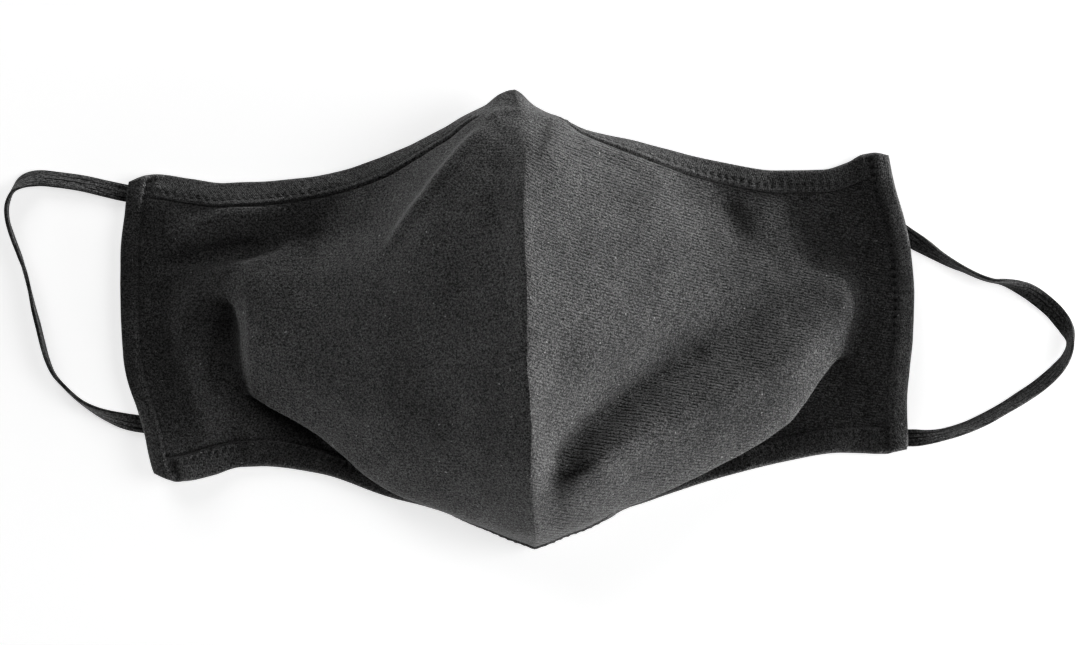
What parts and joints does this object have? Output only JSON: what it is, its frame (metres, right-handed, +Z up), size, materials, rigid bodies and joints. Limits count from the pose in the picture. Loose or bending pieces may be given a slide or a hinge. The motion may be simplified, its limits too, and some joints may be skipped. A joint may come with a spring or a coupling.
{
  "type": "cloth face mask",
  "caption": "Contoured cloth face mask lying front up: curved panels meeting at a raised centre seam, turned hems, stitched side casings and flat elastic ear loops.",
  "frame": {"origin": "middle of the mask body, without its ear loops, on the plane that it lies on", "axes": "+X along the mask towards its right side as seen from above with the nose edge away, +Y towards the nose edge, +Z up, out of the front of the mask"},
  "size_m": [0.3079, 0.1303, 0.0447],
  "materials": {
    "panel_cloth": "matte cotton",
    "hem_cloth": "matte cotton, turned and topstitched",
    "elastic": "ribbed woven elastic"
  },
  "bodies": {
    "root": {"panel_left": "panel_cloth", "panel_right": "panel_cloth", "top_hem_left": "hem_cloth", "top_hem_right": "hem_cloth", "bottom_hem_left": "hem_cloth", "bottom_hem_right": "hem_cloth", "side_casing_left": "hem_cloth", "side_casing_right": "hem_cloth", "ear_loop_left": "elastic", "ear_loop_right": "elastic"}
  },
  "joints": []
}
